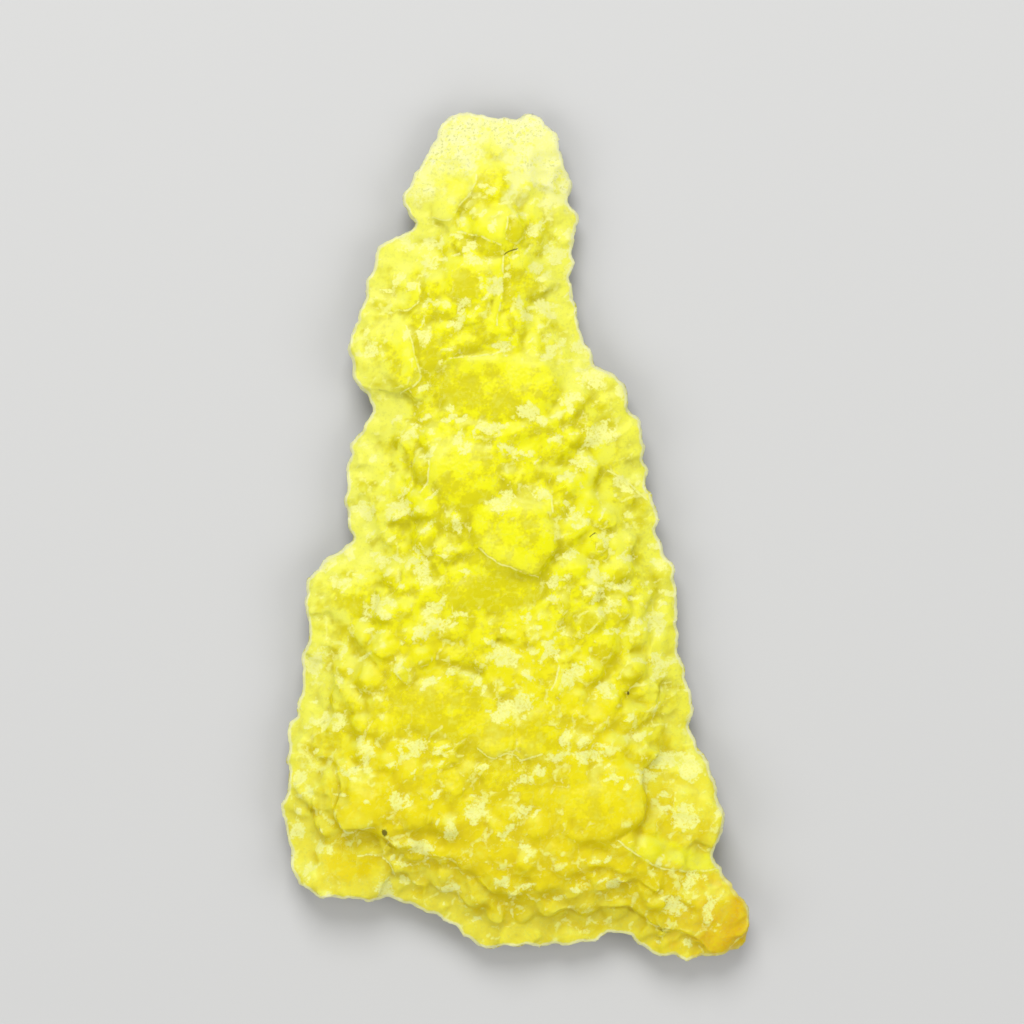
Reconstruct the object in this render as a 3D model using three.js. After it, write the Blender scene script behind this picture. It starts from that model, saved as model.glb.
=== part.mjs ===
// A brucite crystal: one tapering plate of lemon-yellow brucite, made of small platy crystals that
// grew into each other, resting on the flat face where it parted from its rock.
// Millimetres. X runs across the plate, Y from its broad foot to its narrow tip, and Z from the
// resting face out through the cobbled front.
import * as THREE from "three";

// Driving dimensions

// The plate's edge seen from the front, clockwise: lobes, steps and notches.
const EDGE = [
  // tip, two lobes with a notch between them
  [-7.5, 46.9], [-5.8, 47.4], [-3.1, 46.8], [-2.6, 46.0], [-1.4, 46.7], [2.4, 46.6], [4.5, 44.6],
  // right edge, down to the foot
  [4.9, 42.5], [6.1, 39.0], [5.9, 37.3], [6.8, 35.5], [6.4, 31.1], [6.1, 28.4], [7.6, 21.9], [8.7, 20.7],
  [8.7, 19.6], [10.7, 18.3], [12.2, 16.6], [12.3, 14.9], [13.9, 12.1], [14.7, 4.9], [15.8, 3.0],
  [15.6, -0.3], [17.6, -3.6], [18.2, -8.2], [18.1, -12.6], [19.9, -19.9], [19.4, -21.6], [21.4, -25.8],
  [23.1, -31.8], [22.3, -36.4], [25.5, -41.4], [26.2, -43.7],
  // foot, right to left
  [25.1, -46.7], [21.9, -47.3], [14.7, -46.8], [12.8, -44.8], [10.3, -44.6], [7.1, -45.6], [-3.9, -46.1],
  [-6.4, -44.1], [-9.2, -42.4], [-13.5, -40.9], [-22.3, -40.2], [-24.7, -38.6],
  // left edge, back up to the tip
  [-26.1, -30.5], [-25.5, -27.3], [-25.6, -22.0], [-24.4, -18.9], [-23.8, -12.2], [-23.2, -11.2],
  [-23.5, -7.0], [-22.3, -3.6], [-19.7, -1.7], [-18.6, -0.8], [-19.1, 1.0], [-18.9, 6.9], [-18.2, 10.4],
  [-16.1, 14.3], [-18.2, 18.2], [-18.8, 21.4], [-16.6, 27.4], [-15.5, 31.6], [-12.1, 34.4],
  [-11.8, 35.6], [-12.9, 37.3], [-11.1, 40.3], [-9.9, 43.0],
];
const FOOT_CROWN = 9.2; // height of the front's middle near the foot
const TIP_CROWN = 5.6; // and at the tip
const RIM_HEIGHT = 3.0; // middle of the rim above the resting face

// Broad plates and lobes of the front: centre, half-sizes along and across, and the turn of the long
// half-size from X in degrees. lift raises a plate above the cobbles around it.
const PLATES = [
  { at: [-6.1, 43.6], half: [3.5, 3.1], turn: 40, lift: 0.2 },
  { at: [1.3, 43.1], half: [3.8, 3.2], turn: -15, lift: 0.3 },
  { at: [-8.6, 38.2], half: [3.9, 3.3], turn: 25, lift: 0.7 },
  { at: [-2.9, 38.6], half: [2.9, 2.6], turn: 70, lift: -0.3 },
  { at: [-1.9, 34.2], half: [3.7, 2.6], turn: -10, lift: 0.3 },
  { at: [-13.2, 28.5], half: [4.5, 2.8], turn: 80, lift: 0.8 },
  { at: [-14.4, 20.4], half: [5.2, 4.0], turn: 100, lift: 0.9 },
  { at: [-5.2, 28.4], half: [3.1, 2.7], turn: 85, lift: 0.2 },
  { at: [-1.6, 16.6], half: [7.6, 4.2], turn: 4, lift: -0.3 },
  { at: [8.8, 15.6], half: [3.7, 3.2], turn: -35, lift: 0.9 },
  { at: [10.9, 10.4], half: [3.6, 3.0], turn: -30, lift: 0.7 },
  { at: [-5.4, 7.2], half: [4.4, 4.0], turn: 20, lift: 0.5 },
  { at: [-14.6, 6.6], half: [4.0, 3.0], turn: 60, lift: 0.1 },
  { at: [-0.2, -0.6], half: [5.1, 4.5], turn: -30, lift: 0.7 },
  { at: [-2.4, -7.2], half: [6.4, 3.2], turn: 3, lift: -0.5 },
  { at: [-19.0, -6.0], half: [4.2, 3.6], turn: 50, lift: 0.4 },
  { at: [14.4, 2.2], half: [3.2, 2.4], turn: -20, lift: 0.1 },
  { at: [-8.2, -18.4], half: [6.0, 4.0], turn: 12, lift: -0.3 },
  { at: [-2.0, -22.0], half: [3.6, 2.6], turn: 75, lift: 0.1 },
  { at: [3.4, -21.8], half: [3.9, 2.9], turn: 80, lift: 0.3 },
  { at: [18.4, -29.6], half: [5.6, 4.3], turn: 100, lift: 0.6 },
  { at: [9.6, -29.6], half: [6.2, 4.6], turn: 20, lift: 0.1 },
  { at: [-16.4, -29.6], half: [4.4, 3.1], turn: 30, lift: 0.3 },
  { at: [-18.0, -36.4], half: [5.2, 3.4], turn: 8, lift: -0.2 },
  { at: [21.4, -42.6], half: [4.2, 3.4], turn: -40, lift: 0.2 },
];
const PLATE_SIDE = 3.2; // length of the straight sides of a plate
const PLATE_DOME = 0.3; // rise of a plate's face to its middle

const COBBLE_SPACING = 2.9; // between the middles of neighbouring cobbles on the front
const FOOT_SPACING = 2.5; // the same near the foot, where they are smaller
const CRUMB_SPACING = 2.0; // the same in the band of tiny cobbles above the upper lens
const CRUMB_BAND = { x: [-11.5, 0.5], y: [19.6, 24.2] };
const KNOB_SPACING = 2.9; // between the knobs along the edge
const GROOVE_DEPTH = [0.3, 0.7]; // of the grooves between cobbles, below their faces
const REST_POINT = [0, -14]; // a spot of the resting face that is kept whole
const REST_RADIUS = 5;

// Repeatable random numbers

let seed = 20355;
function random() {
  seed = (seed + 0x6d2b79f5) | 0;
  let t = Math.imul(seed ^ (seed >>> 15), 1 | seed);
  t = (t + Math.imul(t ^ (t >>> 7), 61 | t)) ^ t;
  return ((t ^ (t >>> 14)) >>> 0) / 4294967296;
}
const between = (low, high) => low + (high - low) * random();

// The edge as a path

const corners = EDGE.map(([x, y]) => new THREE.Vector2(x, y));
const sides = corners.map((start, i) => new THREE.Line3(
  new THREE.Vector3(start.x, start.y, 0),
  new THREE.Vector3(corners[(i + 1) % corners.length].x, corners[(i + 1) % corners.length].y, 0),
));

// Distance from a point to the edge, negative outside it.
function depthInside(x, y) {
  const point = new THREE.Vector3(x, y, 0);
  const nearest = new THREE.Vector3();
  const distance = Math.min(...sides.map((side) => (
    side.closestPointToPoint(point, true, nearest).distanceTo(point)
  )));
  const crossed = sides.filter(({ start, end }) => (
    (start.y > y) !== (end.y > y) && x < THREE.MathUtils.mapLinear(y, start.y, end.y, start.x, end.x)
  ));
  return crossed.length % 2 ? distance : -distance;
}

// Height of the front under its cobbles: a low dome that thins towards the tip and the edge.
const DOME_RUN = 11; // how far in from the edge the dome has risen to its crown
const FOOT_Y = -47;
const TIP_Y = 47;
function frontHeight(x, y) {
  const crown = THREE.MathUtils.mapLinear(y, FOOT_Y, TIP_Y, FOOT_CROWN, TIP_CROWN);
  const rise = THREE.MathUtils.clamp(depthInside(x, y) / DOME_RUN, 0, 1);
  return THREE.MathUtils.lerp(RIM_HEIGHT, crown, Math.sin(rise * Math.PI / 2));
}

// Sites: each claims the ground that is nearest to it

// Distance from a plate's middle as a share of its half-sizes: under 1 is on the plate.
function shareOfPlate({ x, y }, { at, half, turn }) {
  const offset = new THREE.Vector2(x - at[0], y - at[1]);
  offset.rotateAround(new THREE.Vector2(), THREE.MathUtils.degToRad(-turn));
  return Math.hypot(offset.x / half[0], offset.y / half[1]);
}
const plateAt = (point) => PLATES.find((plate) => shareOfPlate(point, plate) < 1);

const sites = [];
const clearOf = (point, spacing) => sites.every(({ at }) => at.distanceTo(point) > spacing);

// A pair of sites on either side of a line, so that two cells meet along it.
function pairAcross(on, inward, inset) {
  return [inset, -inset].map((shift) => on.clone().addScaledVector(inward, shift));
}

// Pairs all along the edge. The outer ones claim the air around the plate.
const KNOB_INSET = 1.35;
const KNOB_SHIFT = 0.25; // along the edge, as a share of the spacing
const KNOB_SIZES = [0.85, 1.2];
const NOTCH_SHARE = 0.6; // of the inset: sites that a notch brings nearer to the edge are left out
function addKnobSites() {
  const rim = new THREE.CurvePath();
  sides.forEach(({ start, end }) => rim.add(new THREE.LineCurve3(start, end)));
  const count = Math.round(rim.getLength() / KNOB_SPACING);
  for (let i = 0; i < count; i += 1) {
    const share = (i + 0.5 + between(-KNOB_SHIFT, KNOB_SHIFT)) / count;
    const on = rim.getPointAt(share);
    const along = rim.getTangentAt(share);
    const inward = new THREE.Vector2(along.y, -along.x);
    const inset = KNOB_INSET * between(...KNOB_SIZES);
    const [inside, outside] = pairAcross(new THREE.Vector2(on.x, on.y), inward, inset);
    if (depthInside(inside.x, inside.y) > inset * NOTCH_SHARE) sites.push({ at: inside });
    if (depthInside(outside.x, outside.y) < -inset * NOTCH_SHARE) sites.push({ at: outside, air: true });
  }
}

// Pairs round each plate, which give it straight sides, and one site in its middle.
const PLATE_INSET = 1.1;
const PLATE_SHIFT = 0.2; // along the outline, as a share of a side
const ROOM = 1.5; // sites nearer than this to another are left out
function addPlateSites({ at, half, turn }) {
  const turned = THREE.MathUtils.degToRad(turn);
  const outline = new THREE.EllipseCurve(...at, ...half, 0, 2 * Math.PI, false, turned);
  const count = Math.round(outline.getLength() / PLATE_SIDE);
  const middle = new THREE.Vector2(...at);
  const pairs = Array.from({ length: count }, (_, i) => {
    const on = outline.getPointAt((i + between(-PLATE_SHIFT, PLATE_SHIFT) + 1) / (count + 1));
    return pairAcross(on, middle.clone().sub(on).normalize(), PLATE_INSET);
  });
  [middle, ...pairs.flat()].forEach((site) => {
    if (depthInside(site.x, site.y) > KNOB_INSET && clearOf(site, ROOM)) sites.push({ at: site });
  });
}

// Cobbles wherever there is room left between them.
const SCATTER_TRIES = 16000;
const COBBLE_MARGIN = 2.4; // from the edge
const COBBLE_SIZES = [0.8, 1.15];
const HALF_WIDTH = 27; // of the ground that is searched for room
function cobbleSpacing({ x, y }) {
  const { x: [left, right], y: [low, high] } = CRUMB_BAND;
  if (x > left && x < right && y > low && y < high) return CRUMB_SPACING;
  const share = THREE.MathUtils.smoothstep(y, FOOT_Y, 0);
  return THREE.MathUtils.lerp(FOOT_SPACING, COBBLE_SPACING, share) * between(...COBBLE_SIZES);
}
function addCobbleSites() {
  for (let i = 0; i < SCATTER_TRIES; i += 1) {
    const site = new THREE.Vector2(between(-HALF_WIDTH, HALF_WIDTH), between(FOOT_Y, TIP_Y));
    if (depthInside(site.x, site.y) > COBBLE_MARGIN && clearOf(site, cobbleSpacing(site))) {
      sites.push({ at: site });
    }
  }
}

// Cells: the outlines of the ground that the sites claim

// Cuts a convex outline down to the part that is nearer to one site than to another.
function clipToSite(outline, site, other) {
  const away = other.at.clone().sub(site.at);
  const halfway = other.at.clone().add(site.at).multiplyScalar(0.5).dot(away);
  const excess = outline.map((point) => point.dot(away) - halfway);
  return outline.flatMap((point, i) => {
    const next = (i + 1) % outline.length;
    const kept = excess[i] <= 0 ? [point] : [];
    if ((excess[i] <= 0) === (excess[next] <= 0)) return kept;
    return [...kept, point.clone().lerp(outline[next], excess[i] / (excess[i] - excess[next]))];
  });
}

// Corners of all cells, shared by neighbours. Corners closer than WELD become one.
const WELD = 0.35;
const cellCorners = [];
function cornerNear(point) {
  const found = cellCorners.find(({ at }) => at.distanceTo(point) < WELD);
  if (found) return found;
  const corner = { at: point.clone(), cells: [] };
  cellCorners.push(corner);
  return corner;
}

const REACH = 120; // past the whole plate on every side
function cellOf(site) {
  const everywhere = [[-REACH, -REACH], [REACH, -REACH], [REACH, REACH], [-REACH, REACH]];
  const outline = sites.filter((other) => other !== site).reduce(
    (left, other) => clipToSite(left, site, other),
    everywhere.map(([x, y]) => new THREE.Vector2(x, y)),
  );
  const welded = outline.map(cornerNear);
  const ring = welded.filter((corner, i) => corner !== welded[(i + 1) % welded.length]);
  return { plate: plateAt(site.at), ring };
}

// The sides of some cells that no two of them share, each with the cell it came from.
function outerSides(cells) {
  const all = cells.flatMap((cell) => cell.ring.map((from, i) => (
    { from, to: cell.ring[(i + 1) % cell.ring.length], cell }
  )));
  return all.filter(({ from, to }) => !all.some((side) => side.from === to && side.to === from));
}

// Joins the cells that lie on one plate, as long as they make one patch.
function joinCells(cells, plate) {
  const parts = cells.filter((cell) => cell.plate === plate);
  const rest = cells.filter((cell) => cell.plate !== plate);
  const outer = outerSides(parts);
  const ring = [outer[0].from];
  for (let side = outer[0]; side.to !== ring[0]; side = outer.find(({ from }) => from === side.to)) {
    ring.push(side.to);
  }
  return ring.length === outer.length ? [...rest, { plate, ring }] : cells;
}

// Draws the stray corners of a plate back near its outline.
const PLATE_LIMITS = [0.9, 1.1]; // as shares of the plate's half-sizes
function trimPlate({ plate, ring }) {
  const middle = new THREE.Vector2(...plate.at);
  ring.filter(({ outward }) => !outward).forEach(({ at }) => {
    const share = shareOfPlate(at, plate);
    at.lerp(middle, 1 - THREE.MathUtils.clamp(share, ...PLATE_LIMITS) / share);
  });
}

// Scallops the edge: the middle of each long outer side bulges out.
const SCALLOP_LENGTH = 1.1; // shorter sides stay straight
const BULGE_AT = [0.4, 0.6]; // along the side, as a share of it
const BULGE = [0.08, 0.24]; // outward, as a share of the side
function scallopEdge(cells) {
  outerSides(cells).forEach(({ from, to, cell }) => {
    const outward = new THREE.Vector2(to.at.y - from.at.y, from.at.x - to.at.x);
    [from, to].forEach((end) => {
      end.outward = (end.outward ?? new THREE.Vector2()).add(outward);
    });
    if (outward.length() < SCALLOP_LENGTH) return;
    const at = from.at.clone().lerp(to.at, between(...BULGE_AT));
    at.addScaledVector(outward, between(...BULGE));
    cell.ring.splice(cell.ring.indexOf(from) + 1, 0, { at, cells: [], outward: outward.clone() });
  });
}

// The body: a flat cleavage face on every cell, grooves between them, and the resting face below

const FACE_SHARE = [0.52, 0.74]; // of a cobble's width, taken by its cleavage face
const PLATE_FACE_SHARE = 0.86; // and of a plate's
const FACE_UNEVEN = [0.93, 1.07]; // spread of that share from corner to corner
const FACE_LIFT = [-0.3, 0.4]; // of a cobble's face over the dome
const LEAN_ACROSS = [-0.25, 0.25]; // slope of a cobble's face along X
const LEAN_ALONG = [-0.08, 0.4]; // and along Y, mostly facing the tip
const PLATE_LEAN = 0.5; // a plate's slope as a share of a cobble's
const POINTED_SHARE = 0.55; // of the cobbles, which have a low point instead of a flat face
const POINT_HEIGHT = [0.15, 0.5];
const POINT_SHIFT = [0, 0.3]; // of the point, off the middle of the face
const RIM_FRONT = [3.2, 4.1]; // height of the edge's front line
const RIM_BACK = [1.6, 2.2]; // and of its back line
const RIM_SLANT = [0.4, 0.8]; // how far the back line is inside the front line
const RESTING_INSET = 4.2; // the resting face inside the edge
const PIT_SHARE = 0.35; // of the resting face's cells, broken into a pit
const PIT_DEPTH = [0.4, 1.1];

// A point inside a cell that sees all of its sides best: of the corners' mean and points near it, the
// one whose smallest triangle with a side is the largest.
const LOOK_SHARES = [0.15, 0.3, 0.45, 0.6]; // of the way from the mean to each corner
function middleOf(ring) {
  const mean = ring.reduce((sum, { at }) => sum.add(at), new THREE.Vector2()).divideScalar(ring.length);
  const nearby = ring.flatMap(({ at }) => LOOK_SHARES.map((share) => mean.clone().lerp(at, share)));
  const smallest = (point) => Math.min(...ring.map(({ at }, i) => {
    const next = ring[(i + 1) % ring.length].at;
    return at.clone().sub(point).cross(next.clone().sub(point)) / at.distanceTo(next);
  }));
  return [mean, ...nearby].reduce((best, point) => (smallest(point) > smallest(best) ? point : best));
}

// The plane of a cell's cleavage face.
function faceOf({ plate, middle: { x, y } }) {
  const lean = plate ? PLATE_LEAN : 1;
  const normal = new THREE.Vector3(lean * between(...LEAN_ACROSS), lean * between(...LEAN_ALONG), 1);
  const lift = plate ? plate.lift : between(...FACE_LIFT);
  const through = new THREE.Vector3(x, y, frontHeight(x, y) + lift);
  return new THREE.Plane().setFromNormalAndCoplanarPoint(normal.normalize(), through);
}
const heightOn = ({ normal, constant }, { x, y }) => -(normal.x * x + normal.y * y + constant) / normal.z;

function bodyGeometry(cells) {
  const points = [];
  const index = [];
  const addPoint = ({ x, y }, z) => points.push(new THREE.Vector3(x, y, z)) - 1;
  const addFan = (hub, ring) => {
    ring.forEach((corner, i) => index.push(hub, corner, ring[(i + 1) % ring.length]));
  };
  const addFlat = (ring) => {
    ring.slice(2).forEach((corner, i) => index.push(ring[0], ring[i + 1], corner));
  };
  const addBand = (outer, inner, i) => {
    const next = (i + 1) % outer.length;
    index.push(outer[i], outer[next], inner[next], outer[i], inner[next], inner[i]);
  };

  cells.forEach((cell) => {
    cell.middle = middleOf(cell.ring);
    cell.face = faceOf(cell);
    cell.ring.forEach((corner) => corner.cells.push(cell));
  });

  new Set(cells.flatMap(({ ring }) => ring)).forEach((corner) => {
    const { at, outward } = corner;
    if (outward) {
      corner.front = addPoint(at, between(...RIM_FRONT));
      const inside = at.clone().addScaledVector(outward.normalize(), -between(...RIM_SLANT));
      corner.back = addPoint(inside, between(...RIM_BACK));
      return;
    }
    const lowest = Math.min(...corner.cells.map(({ face }) => heightOn(face, at)));
    const risen = 1 - THREE.MathUtils.smoothstep(depthInside(at.x, at.y), 0, RESTING_INSET);
    corner.front = addPoint(at, Math.max(lowest - between(...GROOVE_DEPTH), RIM_FRONT[0]));
    corner.back = addPoint(at, risen * between(...RIM_BACK));
  });

  cells.forEach(({ plate, ring, middle, face }) => {
    const front = ring.map((corner) => corner.front);
    const back = ring.map((corner) => corner.back);
    const share = plate ? PLATE_FACE_SHARE : between(...FACE_SHARE);
    const rim = ring.map(({ at }) => {
      const point = middle.clone().lerp(at, share * between(...FACE_UNEVEN));
      return addPoint(point, heightOn(face, point));
    });
    front.forEach((_, i) => addBand(front, rim, i));
    const point = middle.clone().lerp(ring[0].at, plate ? 0 : between(...POINT_SHIFT));
    const rise = plate ? PLATE_DOME : between(...POINT_HEIGHT);
    if (plate || random() < POINTED_SHARE) addFan(addPoint(point, heightOn(face, point) + rise), rim);
    else addFlat(rim);

    ring.forEach((corner, i) => {
      const next = ring[(i + 1) % ring.length];
      const shared = corner.cells.filter((cell) => next.cells.includes(cell));
      if (shared.length === 1) addBand(back, front, i);
    });

    const apart = middle.distanceTo(new THREE.Vector2(...REST_POINT)) > REST_RADIUS;
    const inFace = depthInside(middle.x, middle.y) > RESTING_INSET;
    const pitted = !plate && apart && inFace && random() < PIT_SHARE;
    const level = back.reduce((sum, corner) => sum + points[corner].z, 0) / back.length;
    addFan(addPoint(middle, pitted ? between(...PIT_DEPTH) : level), back.reverse());
  });

  const geometry = new THREE.BufferGeometry().setFromPoints(points);
  geometry.setIndex(index);
  geometry.computeVertexNormals();
  return geometry;
}

// The crystal, with its middle over the origin and its resting face on Z = 0

addKnobSites();
PLATES.forEach(addPlateSites);
addCobbleSites();
const single = sites.filter(({ air }) => !air).map(cellOf).filter(({ ring }) => ring.length > 2);
const cells = PLATES.reduce(joinCells, single);
scallopEdge(cells);
cells.filter(({ plate }) => plate).forEach(trimPlate);
const crystalGeometry = bodyGeometry(cells);
crystalGeometry.computeBoundingBox();
const middle = crystalGeometry.boundingBox.getCenter(new THREE.Vector3());

const brucite = new THREE.MeshStandardMaterial({ color: 0xe4dc14, roughness: 0.38, metalness: 0 });
const crystal = new THREE.Mesh(crystalGeometry, brucite);
crystal.name = "crystal";
crystal.position.set(-middle.x, -middle.y, 0);

const specimen = new THREE.Group();
specimen.add(crystal);

export default specimen;
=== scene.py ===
import math
import random

import bmesh
import bpy
import numpy as np
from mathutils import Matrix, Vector, kdtree, noise


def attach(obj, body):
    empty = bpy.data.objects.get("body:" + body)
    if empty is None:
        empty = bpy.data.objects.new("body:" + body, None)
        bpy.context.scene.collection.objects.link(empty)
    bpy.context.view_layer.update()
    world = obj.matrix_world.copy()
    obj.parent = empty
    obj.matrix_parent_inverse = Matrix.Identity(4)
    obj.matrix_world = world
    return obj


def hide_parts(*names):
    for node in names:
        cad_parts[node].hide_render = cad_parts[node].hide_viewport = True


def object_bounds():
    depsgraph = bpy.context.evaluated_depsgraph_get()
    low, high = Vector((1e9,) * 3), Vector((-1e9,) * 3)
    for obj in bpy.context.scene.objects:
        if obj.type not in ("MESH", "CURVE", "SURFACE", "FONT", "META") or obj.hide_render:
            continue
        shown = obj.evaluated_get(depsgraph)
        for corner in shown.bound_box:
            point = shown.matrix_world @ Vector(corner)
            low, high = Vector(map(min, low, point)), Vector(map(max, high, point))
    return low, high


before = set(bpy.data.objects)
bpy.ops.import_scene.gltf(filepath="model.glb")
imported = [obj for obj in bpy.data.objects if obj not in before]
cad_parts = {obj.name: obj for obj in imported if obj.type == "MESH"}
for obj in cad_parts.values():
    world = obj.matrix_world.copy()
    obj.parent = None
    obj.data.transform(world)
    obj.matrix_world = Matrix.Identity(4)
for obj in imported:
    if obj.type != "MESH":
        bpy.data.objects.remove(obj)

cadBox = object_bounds()
mm = 0.001


# shader maths as expressions

class Value:  # wraps an output socket

    def __init__(self, graph, socket):
        self.graph = graph
        self.socket = socket

    def __add__(self, other):
        return self.graph.math("ADD", self, other)

    def __sub__(self, other):
        return self.graph.math("SUBTRACT", self, other)

    def __rsub__(self, other):
        return self.graph.math("SUBTRACT", other, self)

    def __mul__(self, other):
        return self.graph.math("MULTIPLY", self, other)

    def __truediv__(self, other):
        return self.graph.math("DIVIDE", self, other)

    def __rtruediv__(self, other):
        return self.graph.math("DIVIDE", other, self)

    def __pow__(self, other):
        return self.graph.math("POWER", self, other)

    __radd__ = __add__
    __rmul__ = __mul__


class Graph:  # builds the nodes of one material

    def __init__(self, name):
        self.material = bpy.data.materials.new(name)
        self.material.use_nodes = True
        self.tree = self.material.node_tree
        self.tree.nodes.clear()

    def node(self, kind, settings, values):
        made = self.tree.nodes.new(kind)
        for name, setting in settings.items():
            if name == "stops":
                for element, (place, colour) in zip(made.color_ramp.elements, setting):
                    element.position = place
                    element.color = colour
            else:
                setattr(made, name, setting)
        for name, value in values.items():
            socket = made.inputs[name]
            if isinstance(value, Value):
                self.tree.links.new(value.socket, socket)
            else:
                socket.default_value = value
        return made

    def out(self, made, name):
        return Value(self, made.outputs[name])

    def math(self, operation, first, second=0.0, clamp=False):
        made = self.node("ShaderNodeMath", {"operation": operation, "use_clamp": clamp}, {0: first, 1: second})
        return self.out(made, 0)

    def least(self, first, second):
        return self.math("MINIMUM", first, second)

    def most(self, first, second):
        return self.math("MAXIMUM", first, second)

    def step(self, value, low, high):  # 0 below low, 1 above high, smooth between
        made = self.node("ShaderNodeMapRange", {"interpolation_type": "SMOOTHSTEP"},
                         {"Value": value, "From Min": low, "From Max": high})
        return self.out(made, "Result")

    def attribute(self, name):
        made = self.node("ShaderNodeAttribute", {"attribute_name": name}, {})
        return self.out(made, "Fac")

    def millimetres(self):
        place = self.out(self.node("ShaderNodeTexCoord", {}, {}), "Object")
        made = self.node("ShaderNodeVectorMath", {"operation": "SCALE"}, {0: place, "Scale": 1 / mm})
        return self.out(made, "Vector")

    def shifted(self, vector, offset):
        made = self.node("ShaderNodeVectorMath", {"operation": "ADD"}, {0: vector, 1: offset})
        return self.out(made, "Vector")

    def stretched(self, vector, factors):
        made = self.node("ShaderNodeVectorMath", {"operation": "MULTIPLY"}, {0: vector, 1: factors})
        return self.out(made, "Vector")

    def distance(self, vector, point):
        made = self.node("ShaderNodeVectorMath", {"operation": "DISTANCE"}, {0: vector, 1: point})
        return self.out(made, "Value")

    def noise(self, vector, size, detail=3.0, rough=0.55):  # size of the blobs in mm
        made = self.node("ShaderNodeTexNoise", {},
                         {"Vector": vector, "Scale": 1 / size, "Detail": detail, "Roughness": rough})
        return self.out(made, "Fac")

    def mixed(self, factor, first, second, blend="MIX"):  # colours
        made = self.node("ShaderNodeMix", {"data_type": "RGBA", "blend_type": blend},
                         {"Factor": factor, 6: first, 7: second})
        return self.out(made, 2)


def linear(red, green, blue):  # 0 to 255 screen colour to a linear one
    def channel(value):
        value = value / 255
        return value / 12.92 if value <= 0.04045 else ((value + 0.055) / 1.055) ** 2.4
    return (channel(red), channel(green), channel(blue), 1.0)


# crystal shape

crystalShape = {
    "voxel": 0.34,  # mm, of the fine mesh
    "softenRounds": 3,  # rounds off the fine mesh
    "fill": 0.6,  # share of the grooves that is filled up again
    "wear": 0.2,  # share of the crowns that is worn off
    "seed": 41,
    "flakeCount": 150,  # thin cleavage flakes lying on the front
    "flakeSize": (0.8, 2.4),  # mm, half-width
    "flakeLift": (-0.05, 0.2),  # mm above the cobbles
    "lumpSize": 1.7,  # mm, small lumps on the cobbles
    "lumpHeight": 0.06,
    "cobbleSize": 3.1,  # mm, uneven cobbles near the rim
    "cobbleHeight": 0.34,
    "rimWear": 0.5,  # share of the even beads near the rim that is worn off
    "lensLevel": 0.4,  # share of the relief under the lenses that is levelled
    "rimSlope": 0.7,  # share of the step behind the rim that is sloped off
    "grainSize": 0.55,  # mm, finest grain
    "grainHeight": 0.02,
    "layerSize": 0.5,  # mm, thickness of the leaves that show on the rim
    "layerHeight": 0.09,
    "rimLump": 0.18,  # mm, fine scallops of the rim
    "creaseStep": 0.28,  # mm, step along an edge of a leaf
    "backHeight": 0.35,  # mm, broken relief of the back
    "patchGrowth": 1.15,  # of the painted highlight patches (pearly sheen)
    "veinSize": 2.7,  # mm, meshes of the fine pale veins
    "webSize": 1.2,  # mm, meshes of the faint web inside
    "pinch": (24.2, -46.0),  # mm, smoothed fold in the corner
    "orangeCorner": (25.5, -45.5),  # mm, middle of the orange corner
    "sprinkles": 320,  # small painted highlight patches between the large ones
}

# smooth lenses of clear yellow on the front: middle and half-sizes in mm, and how much deeper their yellow is
lenses = [
    (-2.0, 16.6, 7.4, 3.6, 0.1), (-5.6, 6.4, 4.0, 4.1, 0.2), (-0.1, -0.2, 4.4, 5.0, -0.1),
    (-2.4, -6.4, 6.1, 2.5, 0.4), (-9.0, -18.4, 5.0, 2.6, 0.3), (-3.1, -22.6, 2.5, 2.6, 0.1),
    (2.3, -22.6, 2.5, 2.6, 0.1), (9.8, -29.6, 4.0, 2.8, -0.1), (-18.5, -36.6, 3.4, 1.8, 0.0),
    # the two lenses at the lower right with negative depth paint a glowing crescent of bright yellow
    (16.3, -35.0, 3.6, 1.5, -0.7), (20.2, -36.0, 3.2, 1.4, -0.9), (-6.2, 38.6, 1.2, 1.8, -0.2), (-2.4, 39.8, 1.9, 1.7, 0.6),
    (1.2, 28.3, 1.2, 2.6, 0.2), (-5.2, 28.0, 1.8, 2.0, 0.3), (-10.8, 26.8, 1.2, 1.6, 0.1),
]

# edges of leaves, in mm, with the higher leaf on the left of the way they run
creases = [
    [(-4.4, -1.1), (-2.7, -2.4), (-0.7, -3.6), (2.8, -4.7)],
    [(-0.9, 32.7), (-0.7, 35.5)],
    [(-2.0, 23.1), (-1.4, 25.5), (-1.2, 31.1)],
    [(-6.7, 33.8), (-3.5, 33.1), (-1.3, 32.1)],
    [(-14.2, 24.7), (-10.7, 25.3), (-10.5, 28.4)],
    [(-9.9, 35.3), (-8.1, 34.9), (-6.7, 35.5), (-6.1, 36.8), (-4.5, 38.6), (-4.4, 40.5)],
    [(-12.9, 15.7), (-10.3, 17.0), (-10.5, 18.9), (-12.2, 23.5)],
    [(-1.3, 20.4), (-3.5, 20.0), (-6.7, 19.8), (-8.5, 19.1)],
    [(-9.5, 10.3), (-9.4, 6.7), (-10.6, 4.6)],
    [(4.3, 2.3), (4.1, 5.3)],
    [(-13.1, -13.2), (-13.3, -15.1), (-11.5, -16.6)],
    [(17.8, -28.1), (17.5, -31.1)],
    [(-19.6, -31.7), (-18.7, -33.5), (-17.2, -32.6), (-15.5, -32.4)],
    [(-4.3, -23.3), (-2.6, -25.0), (-0.2, -24.0), (0.8, -25.0), (3.5, -24.0)],
    [(-17.5, -35.5), (-14.5, -35.7), (-13.2, -38.0)],
    [(4.5, -13.2), (5.0, -14.7), (4.0, -17.2)],
    [(10.4, 7.3), (13.9, 4.8), (15.0, 3.9)],
    [(11.3, -33.6), (13.5, -35.4), (16.0, -37.0), (19.5, -37.5), (23.0, -37.0)],
]

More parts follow.
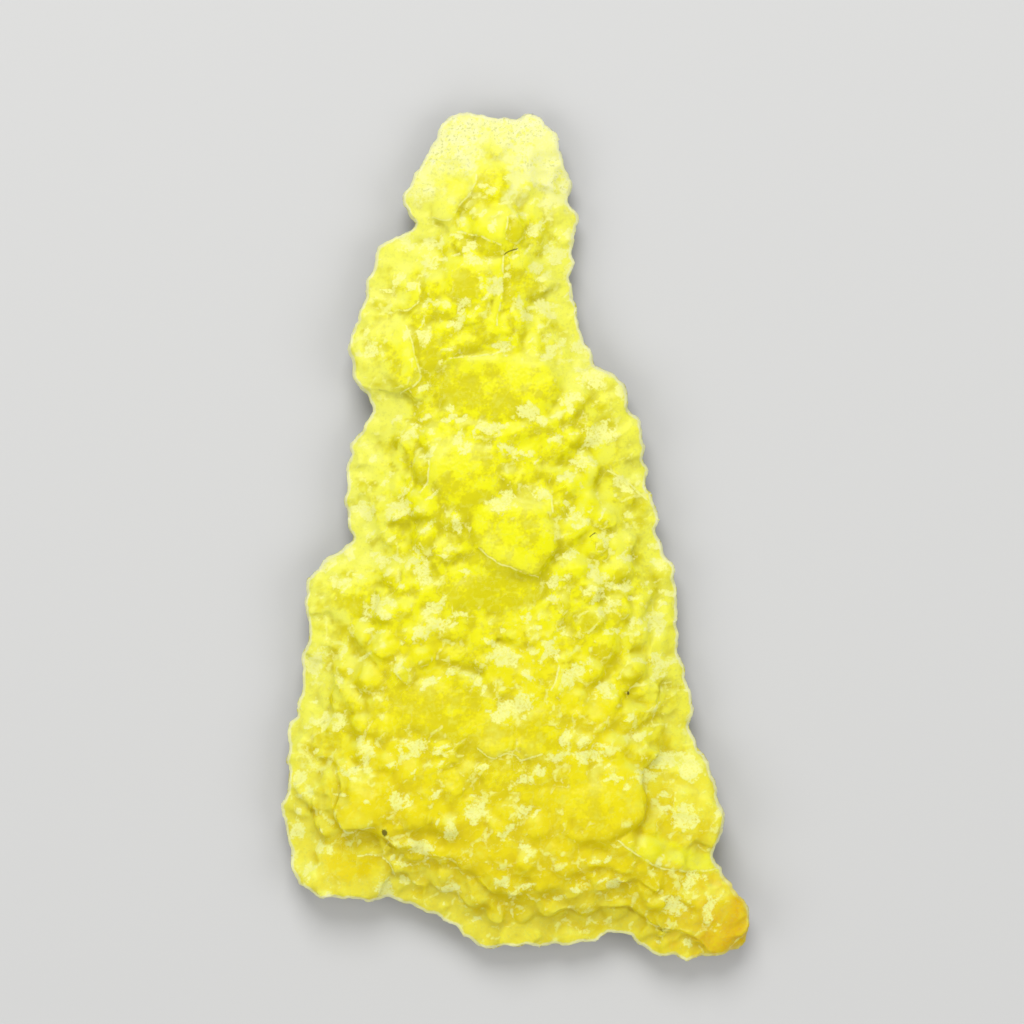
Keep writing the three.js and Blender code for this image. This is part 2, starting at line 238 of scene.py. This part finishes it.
# fine dark cracks, in mm
cracks = [
    [(-1.2, 31.1), (-0.5, 31.5), (0.6, 31.8)],
    [(8.1, -0.4), (8.6, 0.1), (9.1, 0.5)],
]

# painted highlights, a pearly sheen on the upper sides of the cobbles: middle and half-sizes in mm, turn in degrees
patches = [
    (3.3, 43.1, 1.8, 0.9, 0), (0.6, 39.5, 0.9, 0.9, 0), (3.0, 40.5, 0.8, 1.0, 0), (4.6, 37.7, 1.0, 0.6, 0),
    (2.4, 34.0, 1.3, 0.6, 50), (4.6, 31.4, 1.2, 1.0, 0), (2.4, 29.8, 0.8, 0.6, 20), (6.3, 33.6, 0.7, 1.0, 0),
    (-9.6, 30.3, 0.8, 1.0, 0), (-9.6, 32.7, 1.0, 0.7, 0), (-4.4, 30.5, 1.3, 0.7, -10), (-2.6, 27.5, 1.1, 1.1, 0),
    (0.4, 26.1, 0.5, 0.8, 0), (3.7, 25.5, 1.2, 0.6, 20), (1.4, 24.3, 0.7, 0.6, 0), (-5.6, 25.7, 0.9, 0.5, 35),
    (-5.9, 23.7, 1.0, 0.5, 40), (-1.5, 21.1, 1.3, 0.5, 10), (-9.9, 22.3, 0.9, 0.5, 10), (7.6, 21.4, 1.0, 0.9, 0),
    (4.1, 20.7, 0.9, 0.4, 30), (-12.0, 32.5, 0.9, 0.9, 0), (-16.0, 20.7, 0.8, 0.9, 0), (8.5, 17.3, 1.6, 0.9, -20),
    (6.0, 14.6, 1.3, 0.6, -50), (1.7, 13.7, 1.1, 0.9, 0), (9.4, 11.1, 1.4, 1.3, 0), (-3.2, 11.8, 1.6, 0.6, 15),
    (-5.5, 9.7, 0.9, 0.5, 40), (-0.5, 9.4, 1.7, 0.9, -35), (-11.7, 11.1, 1.0, 0.4, 15), (7.6, 7.9, 1.3, 0.9, -40),
    (11.7, 6.1, 0.9, 0.7, 0), (-1.1, 3.7, 1.3, 1.3, 0), (3.1, 4.6, 1.1, 0.5, 0), (6.9, 2.3, 1.6, 0.5, 20),
    (-13.0, 3.1, 1.9, 0.6, 25), (-16.5, 2.6, 1.1, 0.8, 20), (-6.4, 1.4, 0.5, 1.1, 15), (-10.6, -3.4, 0.9, 1.9, 15),
    (4.6, -4.9, 1.3, 0.9, 25), (9.6, -4.6, 0.9, 0.5, 0), (12.4, -5.5, 1.0, 0.5, 0), (9.1, -7.0, 0.8, 0.6, 30),
    (-8.9, -7.9, 0.9, 0.7, 0), (-9.4, -10.3, 2.6, 0.8, 25), (-15.4, -7.9, 1.4, 0.8, 50), (-19.6, -5.2, 1.1, 1.0, 0),
    (1.3, -9.2, 0.7, 0.6, 0), (3.7, -12.6, 1.9, 0.7, 50), (-1.4, -13.5, 1.6, 1.3, 0), (-9.4, -16.2, 1.2, 0.5, 35),
    (1.6, -15.6, 1.0, 0.5, -30), (6.7, -15.3, 2.0, 0.7, 50), (10.0, -17.5, 1.2, 0.7, 0), (16.0, -14.7, 1.0, 1.4, 0),
    (16.1, -9.6, 0.8, 1.5, 0), (-22.1, -14.0, 1.0, 1.5, 0), (0.1, -18.9, 2.4, 0.9, 25), (-21.0, -20.5, 2.0, 0.6, 15),
    (-11.1, -23.6, 1.6, 0.8, 20), (-16.2, -24.0, 0.6, 1.3, 0), (-18.3, -26.0, 1.5, 0.6, 10), (5.6, -22.3, 1.2, 0.5, 75),
    (4.9, -24.3, 1.4, 0.5, 20), (8.3, -24.3, 2.1, 0.9, 20), (0.8, -27.1, 1.1, 0.6, 0), (14.4, -26.6, 1.3, 0.9, 0),
    (16.5, -25.0, 1.4, 0.8, 0), (19.8, -26.0, 1.2, 1.4, 0), (-12.9, -29.4, 0.9, 0.9, 0), (-4.6, -30.7, 1.1, 1.1, 0),
    (-10.4, -34.5, 1.4, 0.9, 0), (-7.2, -32.9, 0.7, 0.9, 0), (1.1, -30.4, 0.8, 0.6, 0), (-1.0, -32.9, 1.5, 0.7, 35),
    (19.1, -31.1, 1.4, 1.5, 0), (-24.1, -32.9, 0.8, 0.8, 0), (-1.3, -38.3, 1.0, 0.7, 0), (11.0, -38.6, 1.0, 0.6, 40),
    (4.9, -40.3, 0.9, 0.5, 20), (-14.5, -39.3, 0.9, 1.3, 0), (19.5, -38.6, 1.1, 1.0, 0), (18.1, -41.3, 1.1, 0.9, 0),
    (21.6, -41.6, 0.7, 1.4, 0), (-7.1, -39.3, 1.1, 0.5, 20), (-24.1, -27.1, 0.7, 1.0, 0), (-23.0, -28.7, 0.8, 0.7, 0),
]


def fineMesh(node, voxel):  # even small faces over the solid's own shape
    work = bpy.data.objects.new("work", node.data.copy())
    bpy.context.scene.collection.objects.link(work)
    work.data.materials.clear()
    remesh = work.modifiers.new("remesh", "REMESH")
    remesh.mode = "VOXEL"
    remesh.voxel_size = voxel * mm
    remesh.use_smooth_shade = True
    shape = work.evaluated_get(bpy.context.evaluated_depsgraph_get())
    mesh = bpy.data.meshes.new_from_object(shape)
    bpy.data.objects.remove(work)
    dropCrumbs(mesh)
    return mesh


def dropCrumbs(mesh):  # keeps only the largest piece
    work = bmesh.new()
    work.from_mesh(mesh)
    unseen = set(work.verts)
    groups = []
    while unseen:
        group = [unseen.pop()]
        for point in group:
            beside = {edge.other_vert(point) for edge in point.link_edges} & unseen
            group.extend(beside)
            unseen -= beside
        groups.append(group)
    groups.sort(key=len)
    for crumb in groups[:-1]:
        bmesh.ops.delete(work, geom=crumb, context="VERTS")
    work.to_mesh(mesh)
    work.free()


class Surface:  # the mesh's points in mm as arrays

    def __init__(self, mesh):
        self.mesh = mesh
        count = len(mesh.vertices)
        points = np.empty(count * 3)
        mesh.vertices.foreach_get("co", points)
        self.points = points.reshape(-1, 3) / mm
        ends = np.empty(len(mesh.edges) * 2, dtype=np.int64)
        mesh.edges.foreach_get("vertices", ends)
        self.ends = ends.reshape(-1, 2)
        self.degree = np.bincount(self.ends.ravel(), minlength=count)

    def mean(self, values):  # of each point's neighbours
        one, two = self.ends.T
        size = len(self.degree)
        total = np.bincount(one, values[two], size) + np.bincount(two, values[one], size)
        return total / np.maximum(self.degree, 1)

    def blurred(self, values, rounds):
        for _ in range(rounds):
            values = 0.5 * values + 0.5 * self.mean(values)
        return values

    def blurredPoints(self, rounds):
        return np.column_stack([self.blurred(axis, rounds) for axis in self.points.T])

    def store(self):
        self.mesh.vertices.foreach_set("co", (self.points * mm).ravel())
        self.mesh.update()

    def normals(self):
        self.store()
        normals = np.empty(len(self.points) * 3)
        self.mesh.vertex_normals.foreach_get("vector", normals)
        return normals.reshape(-1, 3)

    def dips(self, rounds, normals):  # how far each point lies below its blurred surroundings
        return np.einsum("ij,ij->i", self.blurredPoints(rounds) - self.points, normals)

    def near(self, x, y, reach):
        return np.flatnonzero((np.abs(self.points[:, 0] - x) < reach) & (np.abs(self.points[:, 1] - y) < reach))

    def attribute(self, name, values):
        made = self.mesh.attributes.new(name, "FLOAT", "POINT")
        made.data.foreach_set("value", values.astype(np.float32))


def ramp(values, low, high):  # smooth step
    share = np.clip((values - low) / (high - low), 0, 1)
    return share * share * (3 - 2 * share)


def perlin(points, size, offset=0.0):
    return np.array([noise.noise(Vector(point) / size + Vector((offset, offset, 0))) for point in points])


def mottling(points, size, offset):  # three sizes of perlin noise, about -0.6 to 0.6
    return sum(perlin(points, size / 2 ** octave, offset + octave) * 0.7 ** octave for octave in range(3))


def cellEdges(points, size):  # 0 on the borders of random cells, growing inwards
    gaps = []
    for point in points:
        near = noise.voronoi(Vector(point) / size)[0]
        gaps.append(near[1] - near[0])
    return np.array(gaps)


def lensMask(points):  # 1 inside the lenses, and their depth of colour
    mask = np.zeros(len(points))
    deeper = np.zeros(len(points))
    wander = 0.9 * np.column_stack([mottling(points, 3.0, 2.9), mottling(points, 3.0, 7.7)])
    places = points[:, :2] + wander
    for x, y, halfX, halfY, toneAndShade in lenses:
        share = np.hypot((places[:, 0] - x) / halfX, (places[:, 1] - y) / halfY)
        inside = 1 - ramp(share, 0.7, 1.1)
        mask = np.maximum(mask, inside)
        deeper += inside * toneAndShade
    return mask, deeper


def flatTree(places):  # finds the nearest of some places, seen from above
    tree = kdtree.KDTree(len(places))
    for index, (x, y) in enumerate(places):
        tree.insert((x, y, 0), index)
    tree.balance()
    return tree


def edgeDepth(surface, normals, ahead, free):  # distance in from the outline, seen from the front
    places = surface.points[:, :2]
    everywhere = flatTree(places)
    steep = np.flatnonzero(np.abs(normals[:, 2]) < 0.5)
    beyond = places[steep] + normals[steep, :2] * ahead
    outermost = [index for index, (x, y) in zip(steep, beyond) if everywhere.find((x, y, 0))[2] > free]
    rim = flatTree(places[outermost])
    return np.array([rim.find((x, y, 0))[2] for x, y in places])


def addFlakes(surface, front, calm):  # flat leaves with ragged sides
    shape = crystalShape
    draw = random.Random(shape["seed"])
    ground = surface.blurred(surface.points[:, 2], 14)
    ragged = 0.35 * np.column_stack([perlin(surface.points, 0.9, 1.7), perlin(surface.points, 0.9, 6.1)])
    high = np.flatnonzero((front > 0.9) & (calm < 0.3))
    for _ in range(shape["flakeCount"]):
        centre = surface.points[high[draw.randrange(len(high))], :2].copy()
        size = draw.uniform(*shape["flakeSize"])
        corners = draw.randint(4, 6)
        start = draw.uniform(0, 2 * math.pi)
        close = surface.near(*centre, size * 2)
        close = close[front[close] > 0.05]
        offset = surface.points[close, :2] + ragged[close] - centre
        outside = np.full(len(close), -9.0)
        for corner in range(corners):
            angle = start + 2 * math.pi * (corner + draw.uniform(-0.25, 0.25)) / corners
            reach = size * draw.uniform(0.65, 1.0)
            outside = np.maximum(outside, offset @ (math.cos(angle), math.sin(angle)) - reach)
        slope = (draw.uniform(-0.2, 0.2), draw.uniform(-0.05, 0.3))
        level = ground[close].mean() + draw.uniform(*shape["flakeLift"])
        lift = np.clip(level - offset @ slope - surface.points[close, 2], -0.2, 0.5)
        surface.points[close, 2] += lift * (1 - ramp(outside, -0.2, 0.2)) * front[close] * (1 - calm[close])


def rounded(line):  # cuts the corners of a line twice
    for _ in range(2):
        cut = [line[0]]
        for (x, y), (nextX, nextY) in zip(line, line[1:]):
            cut += [(0.75 * x + 0.25 * nextX, 0.75 * y + 0.25 * nextY)]
            cut += [(0.25 * x + 0.75 * nextX, 0.25 * y + 0.75 * nextY)]
        line = cut + [line[-1]]
    return line


def lineGap(places, line, reach):  # distance to a line, positive on its left, and the share of its length
    line = rounded(line)
    gap = np.full(len(places), reach)
    along = np.zeros(len(places))
    for index, (start, end) in enumerate(zip(line, line[1:])):
        run = np.subtract(end, start)
        length = np.hypot(*run)
        offset = places - start
        share = offset @ run / length ** 2
        left = (run[0] * offset[:, 1] - run[1] * offset[:, 0]) / length
        nearer = (np.abs(share - 0.5) < 0.6) & (np.abs(left) < np.abs(gap))
        gap[nearer] = left[nearer]
        along[nearer] = (index + share[nearer]) / (len(line) - 1)
    return gap, along


def nearestGap(places, lines, reach):
    nearest = np.full(len(places), reach)
    for line in lines:
        gap, _ = lineGap(places, line, reach)
        nearer = np.abs(gap) < np.abs(nearest)
        nearest[nearer] = gap[nearer]
    return nearest


def addCreases(surface, front):  # steps along the edges of leaves; returns their sides and the distances to them
    wander = 0.25 * np.column_stack([perlin(surface.points, 1.3, 3.7), perlin(surface.points, 1.3, 9.1)])
    places = surface.points[:, :2] + wander
    leaf = np.zeros(len(places))
    for line in creases:
        gap, along = lineGap(places, line, 3.0)
        ends = ramp(along, 0, 0.2) * (1 - ramp(along, 0.8, 1)) * (1 - ramp(np.abs(gap), 0.4, 2.6))
        surface.points[:, 2] += ramp(gap, -0.15, 0.15) * ends * crystalShape["creaseStep"] * front
        leaf += (2 * ramp(gap, -0.1, 0.1) - 1) * ends * front
    return leaf, nearestGap(places, creases, 3.0), nearestGap(places, cracks, 3.0)


def patchField(surface, normals, front, calm):  # 1 in the middle of a painted highlight patch, 0 on its edge
    shape = crystalShape
    draw = random.Random(shape["seed"] + 1)
    upper = np.flatnonzero((front > 0.8) & (calm < 0.4) & (normals[:, 1] > 0.08))
    spots = list(patches)
    for _ in range(shape["sprinkles"]):
        x, y, _ = surface.points[upper[draw.randrange(len(upper))]]
        spots.append((x, y, draw.uniform(0.3, 1.0), draw.uniform(0.15, 0.45), draw.uniform(-20, 70)))
    wander = 0.9 * np.column_stack([perlin(surface.points, 1.1, 5.3), perlin(surface.points, 1.1, 8.9)])
    field = np.full(len(surface.points), -1.0)
    for x, y, halfLong, halfWide, turn in spots:
        close = surface.near(x, y, max(halfLong, halfWide) * 2 + 1)
        size = min(1.0, halfLong * halfWide)  # small patches wander less
        offset = surface.points[close, :2] + wander[close] * size - (x, y)
        angle = math.radians(turn)
        long = offset @ (math.cos(angle), math.sin(angle)) / (halfLong * shape["patchGrowth"])
        wide = offset @ (-math.sin(angle), math.cos(angle)) / (halfWide * shape["patchGrowth"])
        field[close] = np.maximum(field[close], 1 - np.hypot(long, wide))
    return np.where(front > 0.2, field, -1.0)


def crystalMesh(node):
    shape = crystalShape
    surface = Surface(fineMesh(node, shape["voxel"]))
    print("fine mesh:", len(surface.points), "points")
    surface.points = surface.blurredPoints(shape["softenRounds"])
    normals = surface.normals()
    depth = edgeDepth(surface, normals, 1.5, 0.7)
    print("deepest point in from the rim:", round(float(depth.max()), 1), "mm")
    border = 1 - ramp(depth, 2.0, 5.5)
    dips = surface.dips(30, normals) * ramp(normals[:, 2], 0.2, 0.7)
    worn = np.where(dips > 0, shape["fill"], shape["wear"])
    surface.points += normals * (dips * (worn + (1 - worn) * border * shape["rimWear"]))[:, None]
    surface.points = surface.blurredPoints(shape["softenRounds"])
    upward = ramp(surface.normals()[:, 2], 0.2, 0.7)
    sloped = surface.blurred(surface.points[:, 2] * upward, 300) / np.maximum(surface.blurred(upward, 300), 0.01)
    corner = np.hypot(*(surface.points[:, :2] - shape["orangeCorner"]).T)
    calm, deeper = lensMask(surface.points)
    low = 1 - ramp(surface.points[:, 1], -30, -15)
    broadBorder = 1 - ramp(depth, 2 + 3 * low, 5.5 + 5 * low)
    level = np.maximum(np.maximum(broadBorder * shape["rimSlope"], calm * shape["lensLevel"]), 1 - ramp(corner, 3, 7))
    surface.points[:, 2] += (sloped - surface.points[:, 2]) * level * upward
    surface.points = surface.blurredPoints(shape["softenRounds"])
    pinch = np.hypot(*(surface.points[:, :2] - shape["pinch"]).T)
    surface.points += (surface.blurredPoints(40) - surface.points) * (1 - ramp(pinch, 1.5, 4.0))[:, None]
    normals = surface.normals()
    front = ramp(normals[:, 2], 0.1, 0.6)
    back = ramp(-normals[:, 2], 0.5, 0.9)
    calm *= front

    addFlakes(surface, front, calm)
    leaf, ledge, split = addCreases(surface, front)
    normals = surface.normals()
    rough = 1 - 0.85 * calm
    lumps = ramp(cellEdges(surface.points, shape["lumpSize"]), 0.0, 0.45) - 0.7
    cobbles = ramp(cellEdges(surface.points, shape["cobbleSize"]), 0.0, 0.6) - 0.7
    grain = perlin(surface.points, shape["grainSize"])
    layers = perlin(surface.points * (0.15, 0.15, 1), shape["layerSize"])
    broken = np.maximum(perlin(surface.points, 3.0, 7.3), 0) + 0.4 * np.maximum(perlin(surface.points, 1.1, 2.1), 0)
    side = 1 - front - back
    relief = (front * rough * (lumps * shape["lumpHeight"] + grain * shape["grainHeight"])
              + front * np.maximum(broadBorder, 0.45) * (1 - 0.7 * calm) * cobbles * shape["cobbleHeight"]
              + side * (layers * shape["layerHeight"] + lumps * shape["rimLump"]) - back * broken * shape["backHeight"])
    surface.points += normals * relief[:, None]
    print("relief added:", round(float(relief.min()), 2), "to", round(float(relief.max()), 2), "mm")

    low = np.array(cadBox[0]) / mm
    high = np.array(cadBox[1]) / mm
    surface.points = np.clip(surface.points, low, high)  # stays in the solid's box
    normals = surface.normals()
    litSide = surface.blurred(normals[:, 1], 4) * front  # painted light: upper sides, towards the key light, are painted paler and lower ones painted deeper as shade
    broad = perlin(surface.points, 7.0, 4.4)
    mottle = mottling(surface.points, 1.9, 5.5)
    height = surface.points[:, 1]
    foot = (1 - ramp(height + broad * 8, -46, 2)) * np.clip(1 + deeper, 0, 1)
    # orange towards the lower right corner
    orangeCorner = 1 - ramp(corner + mottle * 4, 0.0, 10.0)
    tongue = 4.5 * np.exp(-((surface.points[:, 0] + 2.4) / 1.5) ** 2)  # yellow between the two pale lobes
    tip = ramp(height - tongue + broad * 3 + mottle * 4, 36, 43) * (1 - 0.85 * calm)
    rim = (1 - ramp(depth + mottle * 4 + broad * 2, 0.8, 5.6)) * (0.9 - 0.35 * ramp(surface.points[:, 0], -4, 14))
    fields = {
        "depth": depth, "ledge": ledge, "split": split, "calm": calm, "foot": foot, "orangeCorner": orangeCorner, "tip": tip,
        # distance in from the outline as seen from the front, for a painted glow along it
        "edge": edgeDepth(surface, normals, 0.45, 0.3) + 1 - ramp(normals[:, 2], -0.05, 0.2),
        # random mottling and lens depth, plus painted shade that makes the lower sides of the cobbles deeper
        "toneAndShade": 0.5 + mottle * 0.9 + broad * 0.6 + deeper - 0.45 * leaf + side * layers - 0.9 * litSide,
        # painted shade: darker yellow where the surface dips below its surroundings
        "valleyShade": ramp(surface.dips(24, normals) + mottle * 0.12, 0.0, 0.22),
        # pale tip and rim band, plus painted light that makes the upper sides of the cobbles paler
        "paleAndLit": np.clip(np.maximum(tip, rim * (1 - foot * 0.6)) * (1 - 0.8 * calm) + 0.15 * leaf - side * (0.3 + layers)
                        + 0.6 * ramp(litSide + mottle * 0.2, 0.12, 0.5), 0, 1) * (1 - orangeCorner),
        "patch": patchField(surface, normals, front, calm) + mottle * 0.3,
        "vein": cellEdges(surface.points + 0.5 * mottle[:, None], shape["veinSize"]) + ramp(mottle, 0.0, -0.25) * 0.2,
        "web": cellEdges(surface.points + 0.4 * mottle[:, None], shape["webSize"]),
    }
    for name, values in fields.items():
        surface.attribute(name, values)
    surface.store()
    return surface.mesh


# crystal finish

crystalFinish = {
    "body": linear(250, 246, 0),
    "deep": linear(226, 219, 0),
    # painted shade in the dips between the cobbles
    "valleyShade": linear(212, 203, 0),
    "pale": linear(248, 249, 105),
    "cream": linear(255, 255, 152),
    "white": linear(255, 255, 190),
    "gold": linear(236, 214, 0),
    "orange": linear(230, 186, 0),
    "haze": linear(206, 208, 95),  # fine grey-green flecks in the rim
    "soot": linear(70, 62, 6),
    "ior": 1.57,
    "transmission": 0.25,
    "subsurface": 0.65,
    "scatter": (1.0, 0.98, 0.15),
    "scatterDepth": 2.2,  # mm
    "absorb": (0.98, 0.96, 0.2, 1.0),
    "absorbDensity": 60.0,  # per metre
    "roughness": 0.42,
    "specular": 0.06,
    "specks": [((-14.4, -32.9), 0.34), ((12.6, -17.5), 0.14)],  # mm: place and half-width of dark specks
}


def bruciteFinish():
    finish = crystalFinish
    graph = Graph("brucite")
    place = graph.millimetres()
    depth, edge, ledge, split, calm, foot, orangeCorner, tip, toneAndShade, valleyShade, paleAndLit, patch, vein, web = (
        graph.attribute(name) for name in ("depth", "edge", "ledge", "split", "calm", "foot", "orangeCorner", "tip", "toneAndShade",
                                           "valleyShade", "paleAndLit", "patch", "vein", "web"))
    jag = graph.noise(graph.shifted(place, (5, 43, 11)), 0.75, 2.0, 0.75)
    fine = graph.noise(graph.shifted(place, (17, 3, 29)), 0.3, 1.0, 0.6)

    # body to deep yellow by random tone, with painted shade on the lower sides of the cobbles
    colour = graph.mixed(graph.step(toneAndShade + (jag - 0.5) * 1.1 + (fine - 0.5) * 1.1, 0.15, 0.85),
                         finish["body"], finish["deep"])
    # painted shade in the dips
    colour = graph.mixed(valleyShade * 0.75, colour, finish["valleyShade"])
    colour = graph.mixed(foot * 0.8, colour, finish["gold"])
    threads = graph.step(web, 0.2, 0.05) * graph.step(jag, 0.42, 0.6)
    colour = graph.mixed(threads * 0.3, colour, finish["pale"])
    colour = graph.mixed(orangeCorner * (0.75 + (jag - 0.5) * 1.8), colour, finish["orange"])
    # pale tip and rim, with painted light on the upper sides of the cobbles
    colour = graph.mixed(paleAndLit, colour, finish["pale"])
    colour = graph.mixed(tip * graph.step(jag, 0.25, 0.6), colour, finish["white"])
    flecks = graph.step(fine * 0.6 + jag * 0.4, 0.53, 0.62) * graph.step(depth, 7.0, 2.5)
    colour = graph.mixed(flecks * (0.2 + 0.4 * tip), colour, finish["haze"])

    # painted highlights: cream patches on the upper sides of the cobbles, joined below with the pale leaf edges and
    # veins
    sheenAndLines = graph.step(patch + (jag - 0.5) * 2.0 + (fine - 0.5) * 0.9 + paleAndLit * 0.15, 0.02, 0.45)
    sheenAndLines = sheenAndLines * (0.6 + 0.4 * graph.step(fine, 0.4, 0.5))
    edges = 1 - graph.step(graph.math("ABSOLUTE", ledge) + (fine - 0.5) * 0.1, 0.04, 0.14)
    veins = (1 - graph.step(vein, 0.03, 0.12)) * (1 - calm)
    lines = graph.most(edges * graph.step(jag, 0.36, 0.52), veins * 0.7 * graph.step(jag, 0.4, 0.56))
    sheenAndLines = graph.most(sheenAndLines, lines)
    colour = graph.mixed(sheenAndLines, colour, finish["cream"])
    # painted glow: a thin near-white line along the outline, on surfaces that face the front
    outlineGlow = graph.step(edge + (jag - 0.5) * 0.2, 0.4, 0.15)
    colour = graph.mixed(outlineGlow * (1 - orangeCorner) * 0.9, colour, finish["white"])

    dark = 1 - graph.step(graph.math("ABSOLUTE", split), 0.03, 0.09)
    for spot, size in finish["specks"]:
        gap = graph.distance(graph.stretched(place, (1, 0.6, 0)), (spot[0], spot[1] * 0.6, 0))
        dark = graph.most(dark, graph.step(gap + (jag - 0.5) * 1.6 * size, size, size * 0.6))
    colour = graph.mixed(dark * 0.85, colour, finish["soot"])

    grain = graph.noise(place, 0.4, 0.0)
    bump = graph.node("ShaderNodeBump", {}, {"Strength": 0.3, "Distance": 0.12 * mm, "Height": grain})
    roughness = finish["roughness"] + sheenAndLines * 0.1 + (jag - 0.5) * 0.15 - calm * 0.04
    crystal = graph.node("ShaderNodeBsdfPrincipled", {"subsurface_method": "RANDOM_WALK"}, {
        "Base Color": colour, "Roughness": roughness, "Normal": graph.out(bump, "Normal"),
        "IOR": finish["ior"], "Transmission Weight": finish["transmission"],
        "Subsurface Weight": finish["subsurface"], "Subsurface Radius": finish["scatter"],
        "Subsurface Scale": finish["scatterDepth"] * mm, "Specular IOR Level": finish["specular"],
    })
    inside = graph.node("ShaderNodeVolumeAbsorption", {},
                        {"Color": finish["absorb"], "Density": finish["absorbDensity"]})
    graph.node("ShaderNodeOutputMaterial", {},
               {"Surface": graph.out(crystal, "BSDF"), "Volume": graph.out(inside, "Volume")})
    return graph.material


def makeCrystal():
    crystal = bpy.data.objects.new("brucite_plate", crystalMesh(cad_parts["crystal"]))
    bpy.context.scene.collection.objects.link(crystal)
    crystal.data.materials.clear()
    crystal.data.materials.append(bruciteFinish())
    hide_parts("crystal")
    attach(crystal, "root")
    print("crystal made:", sum(len(face.vertices) - 2 for face in crystal.data.polygons), "triangles")


# studio

studio = {
    "floorColour": linear(195, 195, 194),
    "floorSize": 2.0,  # m
    "view": (-0.3, 2.6, 113.8),  # mm: middle of the picture and its width
    "cameraHeight": 0.45,
    "worldStrength": 0.42,
    "lights": [  # name, place in m, size in m, watts
        ("key", (-0.05, 0.42, 0.5), 0.4, 3.0),
        ("left", (-0.5, -0.1, 0.5), 0.5, 1.1),
        ("right", (0.5, -0.1, 0.5), 0.5, 1.1),
        ("front", (0.0, -0.5, 0.5), 0.5, 0.8),
    ],
}


def makeFloor():
    graph = Graph("studioFloor")
    shade = graph.node("ShaderNodeBsdfPrincipled", {}, {
        "Base Color": studio["floorColour"], "Roughness": 0.9, "Specular IOR Level": 0.0,
    })
    graph.node("ShaderNodeOutputMaterial", {}, {"Surface": graph.out(shade, "BSDF")})
    half = studio["floorSize"] / 2
    mesh = bpy.data.meshes.new("floor")
    mesh.from_pydata([(-half, -half, 0), (half, -half, 0), (half, half, 0), (-half, half, 0)], [], [(0, 1, 2, 3)])
    mesh.materials.append(graph.material)
    floor = bpy.data.objects.new("floor", mesh)
    floor.location.z = cadBox[0][2] - 0.02 * mm
    bpy.context.scene.collection.objects.link(floor)


def makeLights():
    for name, place, size, watts in studio["lights"]:
        lamp = bpy.data.lights.new(name, "AREA")
        lamp.shape = "DISK"
        lamp.size = size
        lamp.energy = watts
        light = bpy.data.objects.new(name, lamp)
        light.location = place
        light.rotation_euler = (-Vector(place)).to_track_quat("-Z", "Y").to_euler()
        bpy.context.scene.collection.objects.link(light)
    world = bpy.data.worlds.new("studio")
    world.use_nodes = True
    world.node_tree.nodes["Background"].inputs["Strength"].default_value = studio["worldStrength"]
    world.node_tree.nodes["Background"].inputs["Color"].default_value = (1, 1, 1, 1)
    bpy.context.scene.world = world


def makeCamera():
    x, y, width = studio["view"]
    lens = bpy.data.cameras.new("camera")
    lens.sensor_width = 36
    lens.lens = lens.sensor_width * studio["cameraHeight"] / (width * mm)
    camera = bpy.data.objects.new("camera", lens)
    camera.location = (x * mm, y * mm, studio["cameraHeight"] + cadBox[1][2] * 0.6)
    bpy.context.scene.collection.objects.link(camera)
    bpy.context.scene.camera = camera
    bpy.context.scene.view_settings.view_transform = "Standard"


def limitBounces():  # keeps the light inside the crystal quick to render
    cycles = bpy.context.scene.cycles
    cycles.max_bounces = 4
    cycles.diffuse_bounces = 1
    cycles.glossy_bounces = 1
    cycles.transmission_bounces = 3
    cycles.use_light_tree = False  # few lights


makeCrystal()
makeFloor()
makeLights()
makeCamera()
limitBounces()
print("scene made")
